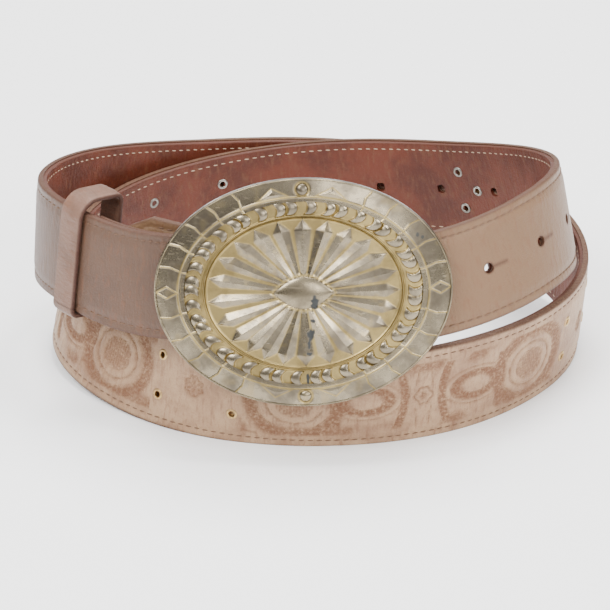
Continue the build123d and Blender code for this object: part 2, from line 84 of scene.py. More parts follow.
# Each station: turn angle from the front, share of the oval, height of the lower edge, outward lean.
COIL_STATIONS = [
    (-66, 0.955, 40.0, 1),
    (-45, 0.86, 39.5, -10),
    (-20, 0.805, 38.0, -16),
    (5, 0.80, 39.0, -16),
    (30, 0.83, 42.0, -15),
    (60, 0.85, 46.0, -16),
    (90, 0.84, 40.0, -10),
    (120, 0.865, 29.5, -7),
    (150, 0.91, 18.5, -4),
    (180, 0.975, 12.0, -1),
    (210, 1.035, 7.5, -1),
    (240, 1.055, 5.5, -6),
    (270, 1.015, 3.5, -14),
    (300, 0.91, 0.5, -19),
    (330, 0.90, -0.4, -3),
    (360, 0.88, -0.5, 7),
    (390, 0.85, -0.5, 7),
    (420, 0.85, -0.5, 9),
    (450, 0.90, 0.5, 6),
    (480, 0.96, 4.0, 1),
    (510, 1.015, 6.5, -1),
    (540, 1.065, 9.0, -2),
    (570, 1.10, 13.0, -3),
    (600, 1.125, 23.0, -2),
    (630, 1.115, 33.0, -3),
    (650, 1.075, 38.0, -6),
    (670, 0.99, 37.5, -11),
    (682, 0.937, 39.3, -14),
]
print(len(COIL_STATIONS), "stations over", COIL_STATIONS[-1][0] - COIL_STATIONS[0][0], "degrees")

# %% A curve through the stations


def natural_spline(knots, values):
    """A smooth curve through every (knot, value), as a function that takes an array."""
    x = np.array(knots, float)
    y = np.array(values, float)
    gaps = np.diff(x)
    size = len(x)
    matrix = np.eye(size)
    right = np.zeros(size)
    for i in range(1, size - 1):
        matrix[i, i - 1 : i + 2] = gaps[i - 1], 2 * (gaps[i - 1] + gaps[i]), gaps[i]
        right[i] = 6 * ((y[i + 1] - y[i]) / gaps[i] - (y[i] - y[i - 1]) / gaps[i - 1])
    bend = np.linalg.solve(matrix, right)

    def value(at):
        i = np.clip(np.searchsorted(x, at) - 1, 0, size - 2)
        gap = gaps[i]
        near = (x[i + 1] - at) / gap
        far = (at - x[i]) / gap
        cubic = (near**3 - near) * bend[i] + (far**3 - far) * bend[i + 1]
        return near * y[i] + far * y[i + 1] + cubic * gap**2 / 6

    return value


TURN_STEP = 0.25
SPARE_TURN = 3
turns = [station[0] for station in COIL_STATIONS]
columns = [[station[k] for station in COIL_STATIONS] for k in (1, 2, 3)]
share_at, height_at, lean_at = (natural_spline(turns, column) for column in columns)
fine_turns = np.arange(turns[0] - SPARE_TURN, turns[-1] + SPARE_TURN, TURN_STEP)
turn_angle = np.radians(fine_turns)
lean = np.radians(lean_at(fine_turns))
coil_share = share_at(fine_turns)
middle = np.stack(
    [
        COIL_HALF_WIDTH * coil_share * np.sin(turn_angle),
        -COIL_HALF_DEPTH * coil_share * np.cos(turn_angle),
        height_at(fine_turns) + STRAP_WIDTH / 2 * np.cos(lean),
    ],
    axis=1,
)
print(len(middle), "points along the middle of the strap")

# %% Three directions at every point of the route


def unit(vectors):
    """Each row at length 1."""
    return vectors / np.linalg.norm(vectors, axis=-1, keepdims=True)


forward = unit(np.gradient(middle, axis=0))
level = unit(forward * [1, 1, 0])
outward = np.stack([level[:, 1], -level[:, 0], 0 * level[:, 0]], axis=1)
up = outward * np.sin(lean)[:, None] + np.array([0, 0, 1]) * np.cos(lean)[:, None]
up = unit(up - forward * np.sum(up * forward, axis=1, keepdims=True))
inward = np.cross(up, forward)
lengths = np.concatenate([[0], np.cumsum(np.linalg.norm(np.diff(middle, axis=0), axis=1))])
lengths -= np.interp(turns[0], fine_turns, lengths)
STRAP_LENGTH = float(np.interp(turns[-1], fine_turns, lengths))
print(f"strap length {STRAP_LENGTH:.0f} mm")

# %% Bend flat pieces onto the coil


def at_along(table, along):
    """A table of vectors read at places along the strap."""
    return np.stack([np.interp(along, lengths, table[:, k]) for k in range(3)], axis=-1)


def bend(along, rise, depth):
    """Points given along the strap, up from its middle line and under its face, in metres."""
    along, rise, depth = np.broadcast_arrays(along, rise, depth)
    place = at_along(middle, along)
    place = place + at_along(up, along) * rise[..., None]
    place = place + at_along(inward, along) * (depth[..., None] - STRAP_THICKNESS / 2) + coil_shift
    place[..., 2] = np.maximum(place[..., 2], 0)
    return place * MM


coil_shift = np.zeros(3)
route_box = np.array([bend(lengths, rise, 0.0) for rise in (-STRAP_WIDTH / 2, STRAP_WIDTH / 2)]) / MM
inside = (lengths >= 0) & (lengths <= STRAP_LENGTH)
low, high = route_box[:, inside].min((0, 1)), route_box[:, inside].max((0, 1))
cad_low, cad_high = (np.array(corner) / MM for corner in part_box("strap_face"))
coil_shift = (cad_low + cad_high - low - high) / 2 * [1, 1, 0]
print("shift onto the CAD coil, mm:", coil_shift.round(2))

# %% [markdown]
# ## One builder for every flat leather layer
#
# A leather layer is a slab: a grid of points on its outer side, the same grid on its inner side, and
# walls round every border. Depth functions shape the two sides, so padding and tooling are real relief
# and not a texture. Where a hole is punched, the cells inside it are left out and the border points are
# moved onto the hole's outline, which keeps the edge of the hole round. Each point also keeps its flat
# place as an attribute, so that grain and stains can follow the leather instead of the room.

# %% Make meshes


def new_object(name, points, faces, smooth=True):
    """A mesh object from points in metres and faces of point numbers."""
    mesh = bpy.data.meshes.new(name)
    mesh.from_pydata([tuple(point) for point in points], [], [tuple(face) for face in faces])
    mesh.validate()
    mesh.update()
    mesh.polygons.foreach_set("use_smooth", [smooth] * len(mesh.polygons))
    piece = bpy.data.objects.new(name, mesh)
    bpy.context.scene.collection.objects.link(piece)
    return piece


def add_attribute(piece, name, values):
    """Store one number or one vector for each point of a mesh."""
    values = np.asarray(values, np.float32)
    kind, field = ("FLOAT_VECTOR", "vector") if values.ndim == 2 else ("FLOAT", "value")
    layer = piece.data.attributes.new(name, kind, "POINT")
    layer.data.foreach_set(field, values.ravel())


print("mesh helpers ready")

# %% Punched outlines


class Punch:
    """A punched outline: round spots, each drawn out along the strap when it has a length."""

    def __init__(self, *spots):
        self.spots = spots

    def reach(self, along, rise):
        """Distance outside the outline (negative inside), and the direction out of it."""
        best = np.full(along.shape, 1e9)
        out = np.zeros(along.shape + (2,))
        for place, height, radius, length in self.spots:
            offset = np.stack([along - np.clip(along, place, place + length), rise - height], axis=-1)
            far = np.linalg.norm(offset, axis=-1)
            nearer = far - radius < best
            best = np.where(nearer, far - radius, best)
            direction = offset / np.maximum(far, 1e-6)[..., None]
            out = np.where(nearer[..., None], direction, out)
        return best, out


print("a plain hole is written", Punch((10.0, 0.0, 1.5, 0.0)).spots)

# %% Leather layers
SHARP_ANGLE = radians(48)


def burnish(distance, width, start):
    """1 at an edge, falling to 0 over about a width."""
    return np.clip(start - distance / width, 0, 1)


def slab(name, alongs, rises, outer, inner, punches=(), outline=None):
    """A leather layer between two depth functions of (along, rise, distance from the side edge)."""
    along, rise = np.meshgrid(alongs, rises, indexing="ij")
    half = np.abs(rises).max()
    if outline is not None:
        rise = rise * outline(along)
        half = half * outline(along)
    keep = np.ones((len(alongs) - 1, len(rises) - 1), bool)
    for punch in punches:
        outside, direction = punch.reach(along, rise)
        hit = outside < 0
        cells = hit[:-1, :-1] & hit[1:, :-1] & hit[:-1, 1:] & hit[1:, 1:]
        corner_hits = np.zeros(along.shape, int)
        for i, j in ((0, 0), (1, 0), (0, 1), (1, 1)):
            corner_hits[i : i + cells.shape[0], j : j + cells.shape[1]] += cells
        rim = (corner_hits > 0) & (corner_hits < 4)
        along[rim] -= direction[rim][:, 0] * outside[rim]
        rise[rim] -= direction[rim][:, 1] * outside[rim]
        keep &= ~cells
    numbers = np.arange(along.size).reshape(along.shape)
    corners = [numbers[:-1, :-1], numbers[1:, :-1], numbers[1:, 1:], numbers[:-1, 1:]]
    quads = np.stack([corner[keep] for corner in corners], axis=1)
    sides = set(map(tuple, np.concatenate([quads[:, [k, (k + 1) % 4]] for k in range(4)]).tolist()))
    walls = [(b, a, a + along.size, b + along.size) for a, b in sides if (b, a) not in sides]
    faces = np.concatenate([quads, quads[:, ::-1] + along.size, np.array(sorted(walls))])
    edge = half - np.abs(rise)
    depths = [outer(along, rise, edge), inner(along, rise, edge)]
    flat = np.concatenate([np.stack(np.broadcast_arrays(along, rise, d), -1).reshape(-1, 3) for d in depths])
    used, faces = np.unique(faces, return_inverse=True)
    faces = faces.reshape(-1, 4)
    flat = flat[used]
    piece = new_object(name, bend(flat[:, 0], flat[:, 1], flat[:, 2]), faces)
    piece.data.set_sharp_from_angle(angle=SHARP_ANGLE)
    add_attribute(piece, "flat", flat)
    edges = np.concatenate([burnish(edge.ravel(), 0.85, 1.35), np.ones(along.size)])[used]
    for punch in punches:
        edges = np.maximum(edges, burnish(punch.reach(flat[:, 0], flat[:, 1])[0], 0.5, 1))
    add_attribute(piece, "edge", edges)
    return piece, flat, used < along.size


print("slab builder ready")

# %% Small patterns on flat leather
SPECKLE_SEED = 7
SPECKLE_CELLS = 256
SPECKLE = np.random.default_rng(SPECKLE_SEED).random((SPECKLE_CELLS, SPECKLE_CELLS))


def speckle(along, rise, size, seed=0):
    """Soft random spots between 0 and 1, about one spot per size in mm."""
    x = np.asarray(along) / size + 31 * seed
    y = np.asarray(rise) / size + 57 * seed
    column, row = np.floor(x).astype(int), np.floor(y).astype(int)
    p, q = x - column, y - row
    p, q = p * p * (3 - 2 * p), q * q * (3 - 2 * q)

    def spot(i, j):
        return SPECKLE[(column + i) % SPECKLE_CELLS, (row + j) % SPECKLE_CELLS]

    near = spot(0, 0) * (1 - p) + spot(1, 0) * p
    far = spot(0, 1) * (1 - p) + spot(1, 1) * p
    return near * (1 - q) + far * q


def ramp(value, start, end):
    """0 before start, 1 after end, smooth between. Start may be the larger."""
    share = np.clip((value - start) / (end - start), 0, 1)
    return share * share * (3 - 2 * share)


def groove(distance, width):
    """1 on a line and 0 beyond its half width."""
    return 1 - ramp(np.abs(distance), 0, width)


print("speckle mean", SPECKLE.mean().round(3))

# %% [markdown]
# ## Materials written as sums
#
# Leather and old metal are not one colour, so each gets a node tree. Long node trees are hard to read
# as lists of links, so a small class wraps a socket: adding or multiplying two wrapped sockets adds the
# Math node for us. Any other node comes from one method that takes its type, settings and inputs.

# %% A number inside a material


class Value:
    """A number inside a material. Sums on it add Math nodes."""

    def __init__(self, paint, socket):
        self.paint, self.socket = paint, socket

    def math(self, operation, *numbers):
        """One Math node on this value and up to two more numbers."""
        return self.paint.node("Math", {"operation": operation}, dict(enumerate(numbers)))

    def __add__(self, other):
        return self.math("ADD", self, other)

    def __mul__(self, other):
        return self.math("MULTIPLY", self, other)

    def __sub__(self, other):
        return self.math("SUBTRACT", self, other)

    def __rsub__(self, other):
        return self.math("SUBTRACT", other, self)

    __radd__ = __add__
    __rmul__ = __mul__

    def between(self, start, end):
        """0 at start and 1 at end, smooth and clamped."""
        sockets = {"Value": self, "From Min": start, "From Max": end}
        return self.paint.node("MapRange", {"interpolation_type": "SMOOTHSTEP"}, sockets)


print("a value knows", [name for name in vars(Value) if name.startswith("__r")])

# %% A material that takes such numbers


class Paint:
    """A material with one Principled shader."""

    def __init__(self, name, **constants):
        self.material = bpy.data.materials.new(name)
        self.material.use_nodes = True
        self.tree = self.material.node_tree
        self.shader = self.tree.nodes["Principled BSDF"]
        self.set(**constants)

    def plug(self, socket, value):
        """Link a wrapped socket, or store a plain value."""
        if isinstance(value, Value):
            self.tree.links.new(value.socket, socket)
        elif isinstance(value, tuple) and socket.type == "RGBA":
            socket.default_value = (*value, 1)
        else:
            socket.default_value = value

    def set(self, **sockets):
        """Give sockets of the Principled shader a constant or a link; _ stands for a space."""
        for name, value in sockets.items():
            self.plug(self.shader.inputs[name.replace("_", " ")], value)

    def node(self, kind, settings=None, sockets=None, output=0):
        """Add a node of any type and return one output, wrapped."""
        node = self.tree.nodes.new("ShaderNode" + kind)
        for name, value in (settings or {}).items():
            setattr(node, name, value)
        for name, value in (sockets or {}).items():
            self.plug(node.inputs[name], value)
        return Value(self, node.outputs[output])

    def read(self, name, output="Fac"):
        """An attribute that the mesh carries."""
        return self.node("Attribute", {"attribute_name": name}, output=output)

    def mix(self, share, first, second):
        """Blend two colours by a share."""
        return self.node("Mix", {"data_type": "RGBA"}, {0: share, 6: first, 7: second}, output=2)

    def noise(self, place, scale, detail=3.0, rough=0.55):
        """Soft noise at a place."""
        sockets = {"Vector": place, "Scale": scale, "Detail": detail, "Roughness": rough}
        return self.node("TexNoise", None, sockets)

    def stretch(self, place, scale):
        """A place with its three directions scaled."""
        return self.node("VectorMath", {"operation": "MULTIPLY"}, {0: place, 1: scale})

    def bump(self, height, distance, strength=1.0):
        """Feed a height to the shader's normal."""
        sockets = {"Height": height, "Distance": distance, "Strength": strength}
        self.set(Normal=self.node("Bump", None, sockets))


print("paint kit ready")

# %% [markdown]
# ## Leather
#
# Vegetable-tanned leather shows pores, fine creases and cloudy colour, and its cut edges are burnished
# dark. The nodes read the flat place of each point, in millimetres, so the grain runs along the strap.
# Creases are noise that is stretched across the strap. The tooled parts carry a stain mask: the stain
# settles in the beaten background, which is also rougher than the smooth shapes.

# %% Leather paints


def leather(name, smooth, worn, edge=(0.07, 0.028, 0.015), stain=(0.15, 0.06, 0.028), tints_and_painted_shade=()):
    """Grained leather with burnished edges and painted shade in its creases and pores; the stain mask is
    used where the mesh has one.
    """
    paint = Paint(name, Specular_IOR_Level=0.32, Coat_Weight=0.05, Coat_Roughness=0.3)
    place = paint.read("flat", "Vector")
    cloud = paint.noise(place, 0.06, 5.0, 0.65).between(0.38, 0.64)
    pores = paint.noise(place, 1.3, 3.0, 0.7)
    creases = paint.noise(paint.stretch(place, (0.55, 0.16, 0.5)), 1.0, 4.0, 0.65)
    colour = paint.mix(cloud, smooth, worn)
    # Each tint darkens a stretch of the strap; the one towards the tip is painted shade.
    for start, end, tint_and_shade in tints_and_painted_shade:
        share = paint.node("SeparateXYZ", None, {0: place}).between(start, end)
        colour = paint.mix(share * (0.94 - cloud * 0.1), colour, tint_and_shade)
    # Creases and pores are darkened towards the stain colour: painted shade in them.
    colour = paint.mix(creases.between(0.48, 0.72) * 0.5 + pores.between(0.52, 0.7) * 0.22, colour, stain)
    beaten = paint.read("stain")
    mottled = beaten * paint.noise(place, 1.1, 3.0).between(0.25, 0.6)
    colour = paint.mix(mottled * 0.85, colour, stain)
    rim = paint.read("edge")
    grit = paint.noise(place, 1.6, 4.0).between(0.2, 0.8)
    colour = paint.mix(rim * (0.75 + grit * 0.25), colour, edge)
    paint.set(Base_Color=colour, Roughness=0.4 + pores * 0.1 + beaten * 0.25 + rim * 0.15)
    height = pores * 0.35 + creases * 0.9 + beaten * pores * 0.8
    paint.bump(height, 0.0007, 0.85)
    return paint.material


FACE_LEATHER = leather(
    "tan strap leather",
    (0.37, 0.235, 0.135),
    (0.26, 0.15, 0.085),
    # The first tint is painted shade on the tip's turns, in shadow behind the buckle end; the second gives
    # the buckle end a mauve brown.
    tints_and_painted_shade=[(385.0, 350.0, (0.15, 0.083, 0.042)), (925.0, 975.0, (0.07, 0.037, 0.026))],
)
LINING_LEATHER = leather(
    "red-brown lining leather", (0.125, 0.027, 0.012), (0.075, 0.016, 0.0075), edge=(0.075, 0.024, 0.013)
)
FOLD_LEATHER = leather("fold leather", (0.15, 0.082, 0.054), (0.11, 0.058, 0.038))
KEEPER_LEATHER = leather(
    "keeper leather", (0.17, 0.093, 0.064), (0.12, 0.064, 0.042), edge=(0.05, 0.018, 0.011)
)
FILLER_LEATHER = leather("filler leather", (0.42, 0.28, 0.19), (0.36, 0.23, 0.15))
print("leathers:", [m.name for m in bpy.data.materials if "leather" in m.name])


def finish_piece(piece, material, body, slot, *stands_for):
    """Paint a new piece, hang it on its body and let it stand for its CAD nodes."""
    piece.data.materials.clear()
    piece.data.materials.append(material)
    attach(piece, body)
    if stands_for:
        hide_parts(*stands_for)
    print(f"{piece.name}: {len(piece.data.polygons)} faces, on {body}")
    return piece


# %% [markdown]
# ## The places of holes, eyelets and stamped flowers
#
# The belt is 38.1 mm wide, and its nine holes are 25.4 mm apart. The first of them is the one that the
# buckle's hook stands in, and each hole has a short slit that lets the hook turn in. The stamped
# pattern repeats every 168 mm, and four eyelets frame each of its small flowers.

# %% Punched places
HALF = STRAP_WIDTH / 2
HOOK_ALONG = 123.5
HOLE_PITCH = 25.4
HOLE_RADIUS, HOLE_SLIT = 1.9, (0.38, 7.5)
HOOK_RADIUS, HOOK_SLIT = 2.3, (2.1, 6.6)
EYELET_RADIUS = 1.5
FLOWER_PITCH = 168.0
flower_places = [403.5 + FLOWER_PITCH * i for i in range(4)]
eyelet_spots = [(f + reach, rise) for f in flower_places for reach in (-15, 15) for rise in (-7.5, 7.5)]
eyelet_spots += [(292.0, -7.5), (292.0, 7.5), (284.5, 0.0)]
punches = [Punch((HOOK_ALONG, 0, HOOK_RADIUS, 0), (HOOK_ALONG, 0, *HOOK_SLIT))]
for number in range(1, 9):
    hole = HOOK_ALONG + HOLE_PITCH * number
    punches.append(Punch((hole, 0, HOLE_RADIUS, 0), (hole, 0, *HOLE_SLIT)))
for along, rise in eyelet_spots:
    punches.append(Punch((along, rise, EYELET_RADIUS, 0)))
print(len(punches), "punched places")


def punches_within(start, end):
    """The punches between two places along the strap."""
    return [punch for punch in punches if start < punch.spots[0][0] < end]


def edge_rises(half, step):
    """Rise values across the strap: fine at both edges and even between them."""
    rim = [0, 0.12, 0.35, 0.65, 1.0, 1.4]
    even = half - 1.9
    count = round(2 * even / step)
    low, high = [-half + r for r in rim], [half - r for r in rim[::-1]]
    return np.concatenate([low, np.linspace(-even, even, count), high])


# %% [markdown]
# ## The tooled face
#
# The pattern is beaten into the wet leather with small steel stamps. Smooth ovals and petals stay high,
# their outlines are rows of little dents, and the ground between them is hatched and takes up the
# stain. We could sculpt it or use a displacement texture. Here the height is a function of the flat
# place, worked out at every half millimetre: it is real geometry, and every repeat is exact.

# %% Height of the leather's face
STITCH_RISE = 16.0


def padded_face(along, rise, edge):
    """Depth of the plain face: padded in the middle, creased at the stitches, rounded at the edge."""
    margin = 0.34 * ramp(np.abs(rise), STITCH_RISE - 3.2, STITCH_RISE - 0.4)
    crease = 0.3 * groove(edge - (HALF - STITCH_RISE), 0.75)
    waves = 0.1 * (speckle(along, rise, 9, 3) - 0.5) * ramp(edge, 0, 2)
    reach = np.clip(1 - edge / 0.9, 0, 1)
    rounding = 0.9 * (1 - np.sqrt(1 - reach**2)) * 0.8
    return np.maximum(margin + crease + waves + rounding, 0)


def oval(x, y, wide, tall):
    """1 on the outline of an oval, less inside, more outside."""
    return np.hypot(x / wide, y / tall)


def dents(turn, count):
    """A row of dents: how deep it is at a share of a turn."""
    return 0.45 + 0.55 * np.cos(turn * count) ** 2


def tooling(along, rise):
    """Extra depth and stain of the stamped pattern."""
    unit_place = (along - flower_places[0] - FLOWER_PITCH / 2) % FLOWER_PITCH
    side = np.minimum(unit_place, FLOWER_PITCH - unit_place)
    depth = np.zeros(along.shape)
    stain = np.zeros(along.shape)
    beaten = speckle(along, rise, 0.75, 1)
    inside = 1 - ramp(np.abs(rise), 13.4, 14.6)

    def press(mask, much, colour, rough=0.0):
        nonlocal depth, stain
        depth = np.maximum(depth, mask * (much + rough * (beaten - 0.5)))
        stain = np.maximum(stain, mask * colour)

    # The large medallion: hatched heart, smooth ring, dented outlines, beaten ground.
    x, y = side - 46.5, rise
    turn = np.arctan2(y, x)
    medallion = oval(x, y, 15.5, 13.6)
    hatch = 0.5 + 0.5 * np.cos(x * 2 * pi / 1.15 + 1.2 * np.sin(y * 0.5))
    press((1 - ramp(medallion, 0.36, 0.42)), 0.22 + 0.2 * hatch, 0.45 + 0.45 * hatch, 0.1)
    for ring in (0.42, 0.66, 0.88):
        press(groove((medallion - ring) * 14, 0.9) * dents(turn, 26 + 40 * ring), 0.55, 0.85)
    ground = ramp(medallion, 0.88, 0.93) * (1 - ramp(medallion, 1.12, 1.3)) * inside
    press(ground, 0.36, 0.95, 0.4)
    # The smaller oval: smooth heart in a hatched ring.
    x = side - 21.0
    turn = np.arctan2(y, x)
    heart = oval(x, y, 6.2, 3.6)
    hatch = 0.5 + 0.5 * np.cos(turn * 34)
    press(ramp(heart, 1.0, 1.1) * (1 - ramp(heart, 1.65, 1.85)), 0.3 + 0.2 * hatch, 1.0, 0.15)
    press(groove((heart - 1) * 4.5, 0.7) * dents(turn, 12), 0.55, 0.9)
    press(groove((heart - 2.15) * 4.2, 0.75) * dents(turn, 26) * inside, 0.45, 0.75)
    # The curved bars beside the flower and between the two ovals.
    for place, bow, top in ((7.0, 0.018, 13.0), (32.5, -0.008, 11.0)):
        bar = np.abs(side - place - bow * y * y)
        hatch = 0.5 + 0.5 * np.cos(y * 2 * pi / 1.05)
        mask = (1 - ramp(bar, 1.3, 2.0)) * (1 - ramp(np.abs(y), top - 1, top))
        press(mask, 0.32 + 0.2 * hatch, 1.0, 0.2)
    # The small flower: dented outline, beaten heart, and a smooth petal above and below it.
    bloom = np.hypot(side, y) - 3.3 - 0.35 * np.cos(5 * np.arctan2(y, side + 0.01))
    press(groove(bloom, 0.8), 0.5, 0.85)
    press(1 - ramp(bloom, -2.6, -1.0), 0.28, 0.8, 0.5)
    petal = np.abs(side) - 3.4 + 0.09 * np.abs(y)
    press(groove(petal, 0.5) * ramp(np.abs(y), 4.2, 5.2) * (1 - ramp(np.abs(y), 12.5, 13.2)), 0.4, 0.7)
    # The stamped rosette between the eyelets.
    x = side - FLOWER_PITCH / 2
    turn = np.arctan2(y, x)
    rosette = np.hypot(x, y) - 3.5 - 0.45 * np.cos(7 * turn)
    press(groove(rosette, 0.8), 0.55, 0.95)
    press((1 - ramp(rosette, -1.2, -0.4)) * (0.5 + 0.5 * np.cos(7 * turn)), 0.4, 0.8, 0.4)
    # Ground that is beaten in patches along both borders, and fine tool marks beside the eyelets.
    patch = ramp(speckle(along, rise, 5.5, 5), 0.42, 0.66) * ramp(np.abs(y), 8.5, 12) * inside
    press(patch * (side < 66), 0.28, 0.85, 0.4)
    marks = ramp(speckle(along * 0.6, rise * 0.6, 1.6, 9), 0.6, 0.9) * (1 - ramp(np.abs(x), 17, 20))
    press(marks * ramp(np.abs(x), 11, 14) * inside * 0.5, 0.2, 0.4, 0.2)
    return depth, stain


def tooled_face(along, rise, edge):
    """Depth of the tooled face."""
    return padded_face(along, rise, edge) * 0.8 + tooling(along, rise)[0]


def face_back(along, rise, edge):
    """Back of the face leather, thinner at the folded end where the bail's bar lies."""
    near_end = np.clip(STRAP_LENGTH - along, 0, 1.6)
    bar = 3.2 - np.sqrt(1.6**2 - near_end**2)
    channel = FACE_THICKNESS - 1.0 * (np.abs(rise) < 13.5)
    return np.minimum(np.where(along > STRAP_LENGTH - 1.6, bar, 9.0), channel)


def tip_outline(along):
    """Share of the full width near the pointed tip."""
    return np.interp(along, [0, 1.5, 4, 22], [0.16, 0.3, 0.42, 1.0])


print("10 mm from its end the tip is", 2 * HALF * tip_outline(10), "mm wide")

# %% Build the face leather in four lengths
TOOLED = (373.0, 655.5, 938.0)
end_even = np.linspace(TOOLED[2], STRAP_LENGTH - 1.7, 240)
end_rounded = STRAP_LENGTH - np.array([1.2, 0.7, 0.3, 0])
sections = [
    ("strap_face_tip", np.linspace(0, TOOLED[0], 520), 0.62, padded_face),
    ("strap_face_tooled_1", np.linspace(TOOLED[0], TOOLED[1], 565), 0.52, tooled_face),
    ("strap_face_tooled_2", np.linspace(TOOLED[1], TOOLED[2], 565), 0.52, tooled_face),
    ("strap_face_end", np.append(end_even, end_rounded), 0.8, padded_face),
]
for name, alongs, step, surface in sections:
    rises = edge_rises(HALF, step)
    holes = punches_within(alongs[0], alongs[-1])
    outline = tip_outline if alongs[0] == 0 else None
    piece, flat, front = slab(name, alongs, rises, surface, face_back, holes, outline)
    stained = tooling(flat[:, 0], flat[:, 1])[1] if surface is tooled_face else np.zeros(len(flat))
    add_attribute(piece, "stain", stained * front)
    finish_piece(piece, FACE_LEATHER, "strap", "tan_leather", "strap_face")

# %% [markdown]
# ## Lining and stitches
#
# The lining is a thin red-brown leather, a little narrower than the face, and two rows of thread hold
# the layers together. A thread could be painted as dashes, but a real stitch is a small worm of thread
# that dips into the leather at both ends, so one stitch is modelled and copied along the route. The
# thread is tan outside, and off-white on the lining side.

# %% Build the lining
LINING_INSET = 0.4


def lining_front(along, rise, edge):
    """The lining's front lies on the face leather."""
    return np.full(along.shape, FACE_THICKNESS)


def lining_back(along, rise, edge):
    """The lining's open side, pressed in a little along the stitches."""
    reach = np.clip(1 - edge / 0.5, 0, 1)
    rounding = 0.4 * (1 - np.sqrt(1 - reach**2))
    crease = 0.16 * groove(edge - (HALF - LINING_INSET - STITCH_RISE), 0.7)
    return STRAP_THICKNESS - rounding - crease


lining_rises = edge_rises(HALF - LINING_INSET, 1.7)
lining, flat, _ = slab(
    "strap_lining_leather",
    np.linspace(0.4, STRAP_LENGTH - 3, 1300),
    lining_rises,
    lining_front,
    lining_back,
    punches,
    tip_outline,
)
lining.data.attributes.remove(lining.data.attributes["edge"])
add_attribute(lining, "edge", np.clip(1.2 - (HALF - LINING_INSET - np.abs(flat[:, 1])) / 0.6, 0, 1))
add_attribute(lining, "stain", np.zeros(len(flat)))
finish_piece(lining, LINING_LEATHER, "strap", "red_brown_lining", "strap_lining")

# %% Thread
STITCH_PITCH = 3.2


def thread_paint(name, colour, dark):
    """Twisted thread: fine slanted stripes."""
    paint = Paint(name, Roughness=0.75)
    place = paint.read("flat", "Vector")
    twist = paint.node("TexWave", {"bands_direction": "DIAGONAL"}, {"Vector": place, "Scale": 1.6})
    paint.set(Base_Color=paint.mix(twist * 0.6, colour, dark))
    paint.bump(twist, 0.0001, 0.6)
    return paint.material


TAN_THREAD = thread_paint("tan thread", (0.16, 0.085, 0.05), (0.07, 0.035, 0.02))
PALE_THREAD = thread_paint("pale thread", (0.62, 0.47, 0.33), (0.34, 0.22, 0.14))


def stitches(name, rise, surface, out, material, start=26.0, end=None):
    """A row of stitches that lie on a surface; out is -1 outside and 1 on the lining side."""
    places = np.arange(start, (end or STRAP_LENGTH - 5), STITCH_PITCH)
    length_steps = np.linspace(-1, 1, 6)
    around = np.linspace(0, 2 * pi, 6, endpoint=False)
    lift = np.sqrt(1 - length_steps**2 * 0.96)
    along = places[:, None, None] + 1.28 * length_steps[None, :, None] + 0 * around
    sideways = rise + 0.27 * lift[:, None] * np.cos(around) + 0.1 * length_steps[:, None]
    depth = surface + out * (0.26 * lift[:, None] * np.sin(around) - 0.3 * (1 - lift[:, None]))
    flat = np.stack(np.broadcast_arrays(along, sideways, depth), axis=-1).reshape(-1, 3)
    one = []
    for i in range(5):
        for j in range(6):
            near, far = i * 6 + j, i * 6 + (j + 1) % 6
            one.append((near, far, far + 6, near + 6) if out < 0 else (near, near + 6, far + 6, far))
    quads = np.array(one)
    faces = (quads[None] + 36 * np.arange(len(places))[:, None, None]).reshape(-1, 4).tolist()
    for k in range(len(places)):
        first = list(range(36 * k, 36 * k + 6))
        last = list(range(36 * k + 30, 36 * k + 36))
        faces += [first[::-1], last] if out < 0 else [first, last[::-1]]
    row = new_object(name, bend(flat[:, 0], flat[:, 1], flat[:, 2]), faces)
    add_attribute(row, "flat", flat)
    return finish_piece(row, material, "strap", "tan_leather")


for side, word in ((-1, "lower"), (1, "upper")):
    stitches(f"face_stitches_{word}", side * STITCH_RISE, 0.42, -1, TAN_THREAD)
    stitches(f"lining_stitches_{word}", side * STITCH_RISE, STRAP_THICKNESS - 0.1, 1, PALE_THREAD)

# %% [markdown]
# ## Eyelets
#
# Each eyelet is a brass tube that is rolled over outside, with a nickel washer on the lining side. The
# CAD model has plain rings; here a small outline is turned on a lathe, so that the lip is really
# rolled and catches the light.

# %% Turn rings on a lathe


def lathe_rings(name, spots, outline, sides=20):
    """Rings round punched spots, from an outline of (radius, depth)."""
    outline = np.array(outline)
    around = np.linspace(0, 2 * pi, sides, endpoint=False)
    count = len(outline)
    points, faces = [], []
    for spot, (along, rise) in enumerate(spots):
        radius = outline[None, :, 0]
        a = along + radius * np.cos(around)[:, None]
        r = rise + radius * np.sin(around)[:, None]
        points.append(bend(a, r, np.broadcast_to(outline[None, :, 1], a.shape)).reshape(-1, 3))
        base = spot * sides * count
        for i in range(sides):
            for j in range(count):
                k = (j + 1) % count
                m = (i + 1) % sides
                here, following = base + i * count, base + m * count
                faces.append([here + j, following + j, following + k, here + k])
    ring = new_object(name, np.concatenate(points), faces)
    ring.data.set_sharp_from_angle(angle=radians(60))
    return ring


def metal(name, clean, dull, roughness=0.3, spots=(0.12, 0.08, 0.04), spot_share=0.5):
    """Old plated metal: clouded colour, small dark spots and fine scratches."""
    paint = Paint(name, Metallic=1.0)
    place = paint.node("TexCoord", output=3)
    cloud = paint.noise(place, 130.0, 4.0).between(0.35, 0.7)
    specks = paint.noise(place, 900.0, 2.0).between(0.66, 0.74)
    colour = paint.mix(cloud, clean, dull)
    colour = paint.mix(specks * spot_share, colour, spots)
    paint.set(Base_Color=colour, Roughness=roughness + cloud * 0.16 + specks * 0.25)
    paint.bump(paint.noise(place, 1600.0, 3.0), 0.00004, 0.35)
    return paint.material


